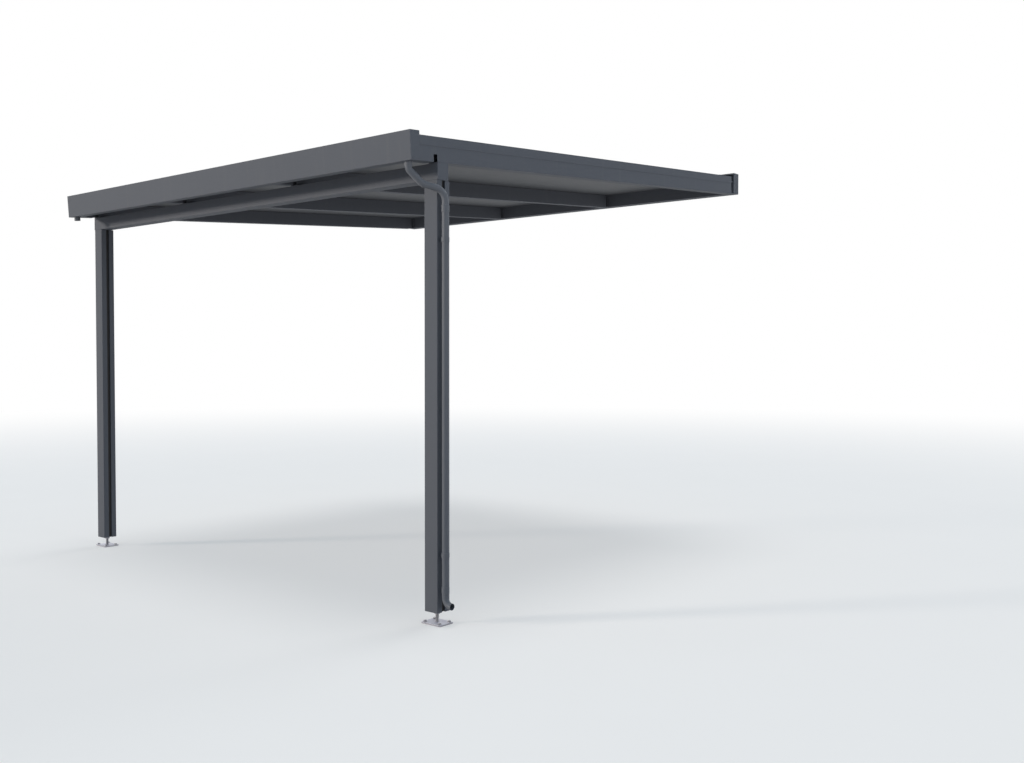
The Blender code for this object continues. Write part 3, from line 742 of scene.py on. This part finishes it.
def socket_rings(stations, radius, settings):
    """Rings of a bent tube whose last end widens into a socket round the next pipe."""
    end, direction = stations[-1]
    inner = radius - settings.wall
    bore = radius + settings.seat
    wide = bore + settings.socket_wall
    tip = end + direction * settings.socket_length
    shoulder = end - direction * settings.socket_wall
    outside = [(centre, heading, radius) for centre, heading in stations[:-1]]
    socket = [
        (shoulder - direction * settings.socket_wall, direction, radius),
        (shoulder, direction, wide),
        (tip, direction, wide),
        (tip, direction, bore),
        (end, direction, bore),
        (end, direction, inner),
    ]
    inside = [(centre, heading, inner) for centre, heading in reversed(stations[:-1])]
    return outside + socket + inside


def pipe_axis():
    """Radius of the straight downpipe and the middle of its two ends."""
    low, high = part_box("downpipe")
    middle = middle_of("downpipe")
    radius = (high.x - low.x) / 2
    return radius, Vector((middle.x, middle.y, high.z)), Vector((middle.x, middle.y, low.z))


class PATIO_OT_draw_pipes(Operator):
    """Rebuild the swan neck, the straight pipe, the shoe, the outlets and the clips smoothly"""

    bl_idname = "patio.draw_pipes"
    bl_label = "Draw the pipes"

    def execute(self, context):
        settings = context.scene.patio_pipes
        radius, head, foot = pipe_axis()
        self.draw_outlets(settings)
        self.draw_neck(settings, radius, head)
        self.draw_straight(settings, radius, head, foot)
        self.draw_shoe(settings, radius, foot)
        for place in ("lower", "upper"):
            self.draw_clip("pipe_clip_" + place, settings, radius, head)
        return {"FINISHED"}

    def add(self, name, bm):
        add_piece("smooth_" + name, bm, "anthracite_pipe_coat", name, PIPE_SLACK)

    def draw_outlets(self, settings):
        bore = pipe_axis()[0] + settings.seat
        for side in SIDES:
            name = "gutter_outlet_" + side
            low_u, high_u = roof.reach(name, roof.along)
            low_v, high_v = roof.reach(name, roof.square)
            rim = (high_u - low_u) / 2
            neck = rim - OUTLET_RIM
            under = high_v - OUTLET_FLANGE
            profile = [(rim, high_v), (rim, under), (neck, under), (neck, low_v)]
            profile += [(bore, low_v), (bore, high_v)]
            x = middle_of(name).x
            middle = (low_u + high_u) / 2
            rings = [(roof.point(x, middle, v), -roof.square, radius) for radius, v in profile]
            self.add(name, tube(rings, settings.sides))

    def draw_neck(self, settings, radius, head):
        name = "gutter_outlet_right"
        x = middle_of(name).x
        low_v, high_v = roof.reach(name, roof.square)
        middle = sum(roof.reach(name, roof.along)) / 2
        floor = roof.point(x, middle, high_v + settings.seat)
        top = roof.point(x, middle, low_v + settings.neck_insert)
        corner = floor - roof.square * settings.neck_corner
        level = Vector((head.x - floor.x, head.y - floor.y, 0)).normalized()
        knee = floor + level * settings.neck_knee_run - UP * settings.neck_knee_drop
        joint = head + UP * settings.seat
        lower = joint + UP * settings.neck_tail
        path = [top, corner, knee, lower, joint]
        stations = bent_path(path, settings.neck_bends, settings.steps)
        rings = socket_rings(stations, radius, settings)
        self.add("downpipe_neck", tube(rings, settings.sides))

    def draw_straight(self, settings, radius, head, foot):
        inner = radius - settings.wall
        rings = [(head, -UP, radius), (foot, -UP, radius), (foot, -UP, inner), (head, -UP, inner)]
        self.add("downpipe", tube(rings, settings.sides))

    def draw_shoe(self, settings, radius, foot):
        turn = settings.shoe_angle
        outward = Vector((math.sin(turn), 0, -math.cos(turn)))
        elbow = foot - UP * settings.shoe_corner
        mouth = elbow + outward * settings.shoe_length
        corners = [foot - UP * settings.seat, elbow, mouth]
        path = bent_path(corners, [settings.shoe_bend], settings.steps)
        turned_back = [(centre, -heading) for centre, heading in reversed(path)]
        rings = socket_rings(turned_back, radius, settings)
        self.add("downpipe_shoe", tube(rings, settings.sides))

    def draw_clip(self, name, settings, radius, head):
        """A ring round the pipe with an arm that reaches into the post's slot."""
        low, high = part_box(name)
        slot = middle_of("post_right").y
        face = face_of("post_right", 1) + settings.seat
        bore = radius + settings.seat
        outer = high.x - head.x
        wall = outer - bore
        half = wall / 2
        gap = math.asin(half / outer)
        first = math.pi + gap
        sweep = 2 * (math.pi - gap)
        turns = [first + sweep * step / settings.sides for step in range(settings.sides + 1)]
        ways = [(math.cos(turn), math.sin(turn)) for turn in turns]
        rims = []
        for reach in (outer, bore):
            rims.append([(head.x + reach * x, head.y + reach * y) for x, y in ways])
        near = [(face, head.y - half), (face, slot - half), (low.x, slot - half)]
        far = [(face + wall, head.y + half), (face + wall, slot + half), (low.x, slot + half)]
        bm = bmesh.new()
        plans = [self.clip_plan(bm, (*rims, near, far), z) for z in (low.z, high.z)]
        for bottom, top in zip(*plans):
            for i in range(len(bottom)):
                bm.faces.new((bottom[i - 1], bottom[i], top[i], top[i - 1]))
        self.add(name, bm)

    def clip_plan(self, bm, rails, z):
        """Lay a clip's ring and arm flat at a height, and return their outline and the bore's."""
        rows = [[bm.verts.new((x, y, z)) for x, y in rail] for rail in rails]
        rim, hole, front, rear = rows
        ring = [*zip(rim, hole), (rim[0], hole[0])]
        arm = [(rim[0], rim[-1]), *zip(front, rear)]
        for strip in (ring, arm):
            for (a, b), (c, d) in zip(strip, strip[1:]):
                bm.faces.new((a, c, d, b))
        return rim + rear + front[::-1], hole


class PATIO_OT_cut_threads(Operator):
    """Rebuild the feet's spindles with a thread, and weld them to their plates"""

    bl_idname = "patio.cut_threads"
    bl_label = "Cut the spindles' threads"

    def execute(self, context):
        settings = context.scene.patio_fittings
        for side in SIDES:
            name = "foot_spindle_" + side
            low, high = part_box(name)
            radius = (high.x - low.x) / 2
            centre = middle_of(name)
            nut_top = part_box("foot_nut_" + side)[1].z
            bm = bmesh.new()
            self.thread(bm, centre, (low.z, nut_top, high.z), radius, settings)
            label = "threaded_spindle_" + side
            add_piece(label, bm, "oiled_thread", name, THREAD_SLACK)
            bm = bmesh.new()
            plate = Vector((centre.x, centre.y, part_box("foot_plate_" + side)[1].z))
            fillet = self.fillet(radius, settings.weld_size)
            turned(bm, plate, UP, fillet, WELD_SIDES, closed=True)
            add_piece("foot_weld_" + side, bm, "bright_zinc")
        return {"FINISHED"}

    def thread(self, bm, centre, levels, radius, settings):
        """Spindle with a thread from its foot to the second level and a plain end above."""
        bottom, thread_top, top = levels
        rise = settings.pitch / THREAD_RINGS
        loops = []
        for row in range(int((thread_top - bottom) / rise) + 1):
            height = bottom + row * rise
            loop = []
            for corner in range(THREAD_SIDES):
                turn = 2 * math.pi * corner / THREAD_SIDES
                phase = (height / settings.pitch - corner / THREAD_SIDES) % 1.0
                groove = (abs(2 * phase - 1) - THREAD_LAND) / (1 - 2 * THREAD_LAND)
                reach = radius - settings.thread_depth * min(1.0, max(0.0, groove))
                x = centre.x + reach * math.cos(turn)
                y = centre.y + reach * math.sin(turn)
                loop.append(Vector((x, y, height)))
            loops.append(loop)
        end = Vector((centre.x, centre.y, top))
        loops.append(circle(end, UP, radius, THREAD_SIDES, start=Vector((1, 0, 0))))
        skin(bm, loops)

    def fillet(self, radius, leg):
        """Profile of the weld, with its inner side sunk into the spindle."""
        inner = radius - WELD_SINK
        across, up = WELD_THROAT
        profile = [(inner, 2 * HAIR), (radius + leg, 2 * HAIR)]
        return profile + [(radius + leg * across, leg * up), (radius, leg), (inner, leg)]


class PATIO_OT_fit_nuts(Operator):
    """Rebuild the feet's nuts with chamfered corners"""

    bl_idname = "patio.fit_nuts"
    bl_label = "Fit the nuts"

    def execute(self, context):
        for side in SIDES:
            name = "foot_nut_" + side
            low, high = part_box(name)
            middle = middle_of(name)
            spindle_low, spindle_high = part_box("foot_spindle_" + side)
            bore = (spindle_high.x - spindle_low.x) / 2 + NUT_PLAY
            centre = Vector((middle.x, middle.y, low.z))
            bm = bmesh.new()
            hexagon_body(bm, centre, high.y - low.y, high.z - low.z, bore=bore)
            label = "chamfered_nut_" + side
            add_piece(label, bm, "bright_zinc", name, NUT_SLACK)
        return {"FINISHED"}


class PATIO_OT_anchor_feet(Operator):
    """Bolt the foot plates down through their four holes"""

    bl_idname = "patio.anchor_feet"
    bl_label = "Anchor the feet"

    def execute(self, context):
        settings = context.scene.patio_fittings
        inset = settings.bolt_inset
        for side in SIDES:
            low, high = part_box("foot_plate_" + side)
            bm = bmesh.new()
            for x in (low.x + inset, high.x - inset):
                for y in (low.y + inset, high.y - inset):
                    self.bolt(bm, Vector((x, y, high.z + HAIR)), high.z - low.z, settings)
            add_piece("anchor_bolts_" + side, bm, "oiled_thread")
        return {"FINISHED"}

    def bolt(self, bm, seat, plate, settings):
        """Washer with rounded rims, and a bolt down through it and the plate."""
        thick = settings.washer_thickness
        rim = settings.washer_radius
        soft = WASHER_ROUND
        hole = settings.bolt_flats * BOLT_HOLE
        washer = [(hole, 0), (rim - soft, 0), (rim, soft)]
        washer += [(rim, thick - soft), (rim - soft, thick), (hole, thick)]
        turned(bm, seat, UP, washer, WASHER_SIDES, closed=True)
        hexagon_body(
            bm,
            seat + UP * (thick + HAIR),
            settings.bolt_flats,
            settings.bolt_height,
            shank=hole - BOLT_PLAY,
            depth=plate + thick,
            crown=BOLT_CROWN,
        )


def screw_head(bm, seat, axis, settings):
    """Low round screw head with a small driver recess."""
    radius = settings.screw_radius
    height = settings.screw_height
    profile = [(radius * out, height * up) for out, up in SCREW_PROFILE]
    turned(bm, seat, axis, profile, SCREW_SIDES)


class PATIO_OT_screw_end_plates(Operator):
    """Fix the end plates of the gutter, the carrier beam and the wall plate with screws"""

    bl_idname = "patio.screw_end_plates"
    bl_label = "Screw on the end plates"

    def execute(self, context):
        settings = context.scene.patio_fittings
        inset = settings.screw_inset
        for side, sign in zip(SIDES, (-1, 1)):
            seats = []
            name = "gutter_end_plate_" + side
            face = face_of(name, sign)
            low_u, high_u = roof.reach(name, roof.along)
            low_v, high_v = roof.reach(name, roof.square)
            for u in (low_u + inset, high_u - inset):
                for v in (low_v + inset, high_v - inset):
                    seats.append(roof.point(face, u, v))
            name = "wall_end_plate_" + side
            low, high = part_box(name)
            for y in (low.y + inset, high.y - inset):
                for z in (low.z + inset, high.z - inset):
                    seats.append(Vector((face_of(name, sign), y, z)))
            name = "carrier_end_plate_" + side
            low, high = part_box(name)
            for y in (low.y + inset, high.y - inset):
                seats.append(Vector((face_of(name, sign), y, low.z + inset)))
            bm = bmesh.new()
            for seat in seats:
                screw_head(bm, seat, Vector((sign, 0, 0)), settings)
            add_piece("end_plate_screws_" + side, bm, "anthracite_powder_coat")
        return {"FINISHED"}


class PATIO_OT_lay_seals(Operator):
    """Lay rubber strips where the roof panels meet the beams, the caps and the wall plate"""

    bl_idname = "patio.lay_seals"
    bl_label = "Lay the seals"

    def execute(self, context):
        settings = context.scene.patio_fittings
        radius = settings.seal_radius
        under = -radius - HAIR
        over = roof.thickness + radius + HAIR
        for side, sign in zip(SIDES, (-1, 1)):
            low_u, high_u = roof.reach("rafter_" + side, roof.along)
            ends = (low_u + SEAL_START, min(high_u, roof.length - SEAL_STOP))
            low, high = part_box("rafter_" + side)
            places = [(x, v) for x in (low.x - radius, high.x + radius) for v in (under, over)]
            self.lay("rafter_seals_" + side, places, ends, radius)
            inner = face_of("side_beam_" + side, -sign) - sign * radius
            trim = face_of("side_trim_" + side, -sign) - sign * radius
            self.lay("side_seals_" + side, [(inner, under), (trim, over)], ends, radius)
        self.close_rear(WALL_SEAL)
        return {"FINISHED"}

    def lay(self, name, places, ends, radius):
        """Beads up the slope at places given by x and v."""
        bm = bmesh.new()
        side = Vector(roof.square)
        for x, v in places:
            start, end = (roof.point(x, u, v) for u in ends)
            bead(bm, start, end, radius, side)
        add_piece(name, bm, "black_rubber")

    def close_rear(self, half_gap):
        """Two beads behind each roof panel, where it meets the wall plate."""
        bm = bmesh.new()
        rear = roof.length + half_gap
        for bay in ("left", "middle", "right"):
            low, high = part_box("roof_panel_" + bay)
            for v in (half_gap, roof.thickness - half_gap):
                start, end = (roof.point(x, rear, v) for x in (low.x, high.x))
                bead(bm, start, end, half_gap - HAIR)
        add_piece("wall_seals", bm, "black_rubber")


class PATIO_OT_shade_slots(Operator):
    """Line the posts' side slots with ribbed black rubber strips, a painted shade that darkens the
    slots
    """

    bl_idname = "patio.line_slots"
    bl_label = "Line the slots"

    def execute(self, context):
        settings = context.scene.patio_fittings
        clips = [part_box("pipe_clip_" + place) for place in ("lower", "upper")]
        play = CLIP_PLAY
        for side in SIDES:
            name = "post_" + side
            low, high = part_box(name)
            bm = bmesh.new()
            for sign in (-1, 1):
                ends = [low.z + STRIP_END, high.z - STRIP_END]
                if sign > 0 and side == "right":
                    for clip_low, clip_high in clips:
                        ends[-1:-1] = [clip_low.z - play, clip_high.z + play]
                x = face_of(name, sign) - sign * (settings.slot_depth - 2 * HAIR)
                for bottom, top in zip(ends[::2], ends[1::2]):
                    floor = Vector((x, middle_of(name).y, bottom))
                    self.strip(bm, floor, sign, top - bottom, settings)
            # The black strips are painted shade that darkens the slots.
            add_piece("slot_strips_" + side, bm, "black_rubber")
        return {"FINISHED"}

    def strip(self, bm, floor, sign, length, settings):
        """Flat strip with two ribs, drawn as one outline and pushed up the slot."""
        half = settings.strip_width / 2
        thick = settings.strip_thickness
        rib = half * RIB_PLACE
        outline = [(-half, 0), (half, 0), (half, thick)]
        for middle in (rib, -rib):
            outline += [(middle + thick, thick), (middle, 2 * thick), (middle - thick, thick)]
        outline.append((-half, thick))
        loops = []
        for height in (0, length):
            loops.append([floor + Vector((sign * up, across, height)) for across, up in outline])
        skin(bm, loops)


class PATIO_OT_set_stage(Operator):
    """Set the floor, the light and the camera"""

    bl_idname = "patio.set_stage"
    bl_label = "Set the stage"

    def execute(self, context):
        settings = context.scene.patio_stage
        self.lay_floor(context.scene, settings)
        self.light_world(context.scene, settings)
        main = (settings.sun_spread, settings.sun_height, -settings.sun_turn)
        self.hang_sun("main_light", MAIN_COLOR, settings.sun_strength, main)
        for name, (setting, *degrees) in SOFT_LIGHTS.items():
            angles = [math.radians(angle) for angle in degrees]
            self.hang_sun(name, SOFT_COLOR, getattr(settings, setting), angles)
        self.place_camera(context.scene, settings)
        context.scene.view_settings.view_transform = "Standard"
        return {"FINISHED"}

    def lay_floor(self, scene, settings):
        bm = bmesh.new()
        radius = settings.floor_radius
        bmesh.ops.create_circle(bm, cap_ends=True, segments=FLOOR_SIDES, radius=radius)
        mesh = bpy.data.meshes.new("studio_floor")
        bm.to_mesh(mesh)
        bm.free()
        mesh.materials.append(self.floor_paint(settings))
        floor = bpy.data.objects.new("studio_floor", mesh)
        floor.location = (0, FLOOR_MIDDLE, GROUND - FLOOR_DROP)
        scene.collection.objects.link(floor)

    def floor_paint(self, settings):
        """Pale floor that turns white further off and throws a plain light up at the cover."""
        sheet = new_sheet("pale_floor")
        where = sheet.node("TexCoord", output="Object")
        length = {"operation": "LENGTH"}
        distance = sheet.node("VectorMath", length, {0: where}, "Value")
        fade = sheet.ease(distance, settings.fade_start, settings.fade_end)
        pale = fade * (1 - settings.floor_white) + settings.floor_white
        mottle = sheet.noise(cells=1.1, detail=3.0)
        shade = sheet.blend(mottle, tinted(settings.floor, 0.985), tinted(settings.floor, 1.015))
        paint = sheet.node("BsdfDiffuse", None, {"Color": shade})
        growth = sheet.ease(distance, settings.glow_start, settings.glow_end)
        thrown = sheet.blend(growth, tinted(settings.floor_glow), tinted(settings.far_glow))
        glow = sheet.glow(thrown)
        shown = sheet.mix(pale, paint, sheet.glow(WHITE))
        mixed = sheet.mix(self.seen_directly(sheet), glow, shown)
        sheet.node("OutputMaterial", None, {"Surface": mixed})
        return sheet.owner

    def seen_directly(self, sheet):
        """1 for rays that show the backdrop: from the camera, in a mirror or through glass."""
        camera = sheet.node("LightPath", output="Is Camera Ray")
        glossy = sheet.node("LightPath", output="Is Glossy Ray")
        through = sheet.node("LightPath", output="Is Transmission Ray")
        return sheet.node("Clamp", None, {0: camera + glossy + through})

    def light_world(self, scene, settings):
        """Soft sky for the cover, white where the camera sees past it."""
        world = bpy.data.worlds.new("studio_light")
        scene.world = world
        sheet = NodeSheet(world)
        direction = sheet.node("TexCoord", output="Generated")
        height = sheet.node("SeparateXYZ", None, {0: direction}, output="Z")
        rise = sheet.ease(height, low=0.05, high=0.6)
        sky = sheet.blend(rise, tinted(settings.sky_low), tinted(settings.sky_high))
        soft = sheet.glow(sky, "Background")
        white = sheet.glow(WHITE, "Background")
        mixed = sheet.mix(self.seen_directly(sheet), soft, white)
        sheet.node("OutputWorld", None, {"Surface": mixed})

    def hang_sun(self, name, color, energy, angles):
        """Sun lamp from its spread, its height above the horizon and its turn."""
        spread, height, turn = angles
        light = bpy.data.lights.new(name, "SUN")
        light.energy = energy
        light.angle = spread
        light.color = color
        sun = bpy.data.objects.new(name, light)
        sun.rotation_euler = (math.pi / 2 - height, 0, turn)
        bpy.context.scene.collection.objects.link(sun)

    def place_camera(self, scene, settings):
        data = bpy.data.cameras.new("photo_view")
        data.sensor_width = SENSOR_WIDTH
        data.lens = settings.lens
        data.clip_end = CAMERA_REACH
        camera = bpy.data.objects.new("photo_view", data)
        camera.location = settings.camera_place
        turns = (math.pi / 2 - settings.camera_dip, -settings.camera_roll, settings.camera_turn)
        camera.rotation_euler = turns
        scene.collection.objects.link(camera)
        scene.camera = camera


STEPS = (
    PATIO_OT_coat_frame,
    PATIO_OT_coat_infill,
    PATIO_OT_coat_pipes,
    PATIO_OT_plate_feet,
    PATIO_OT_draw_pipes,
    PATIO_OT_cut_threads,
    PATIO_OT_fit_nuts,
    PATIO_OT_anchor_feet,
    PATIO_OT_screw_end_plates,
    PATIO_OT_lay_seals,
    PATIO_OT_shade_slots,
    PATIO_OT_set_stage,
)


class PATIO_PT_finishes(Panel):
    """Lists the steps that dress the patio cover"""

    bl_idname = "PATIO_PT_finishes"
    bl_label = "Patio cover"
    bl_space_type = "VIEW_3D"
    bl_region_type = "UI"
    bl_category = "Patio cover"

    def draw(self, context):
        for step in STEPS:
            self.layout.operator(step.bl_idname)


SETTINGS = {
    "patio_finishes": PatioFinishSettings,
    "patio_pipes": PatioPipeSettings,
    "patio_fittings": PatioFittingSettings,
    "patio_stage": PatioStageSettings,
}


def register():
    for cls in (*SETTINGS.values(), *STEPS, PATIO_PT_finishes):
        bpy.utils.register_class(cls)
    for name, cls in SETTINGS.items():
        setattr(bpy.types.Scene, name, PointerProperty(type=cls))


def unregister():
    for name in SETTINGS:
        delattr(bpy.types.Scene, name)
    for cls in reversed((*SETTINGS.values(), *STEPS, PATIO_PT_finishes)):
        bpy.utils.unregister_class(cls)


def main():
    register()
    bpy.ops.patio.coat_frame()
    bpy.ops.patio.coat_infill()
    bpy.ops.patio.coat_pipes()
    bpy.ops.patio.plate_feet()
    bpy.ops.patio.draw_pipes()
    bpy.ops.patio.cut_threads()
    bpy.ops.patio.fit_nuts()
    bpy.ops.patio.anchor_feet()
    bpy.ops.patio.screw_end_plates()
    bpy.ops.patio.lay_seals()
    bpy.ops.patio.line_slots()
    bpy.ops.patio.set_stage()
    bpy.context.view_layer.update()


if __name__ == "__main__":
    main()
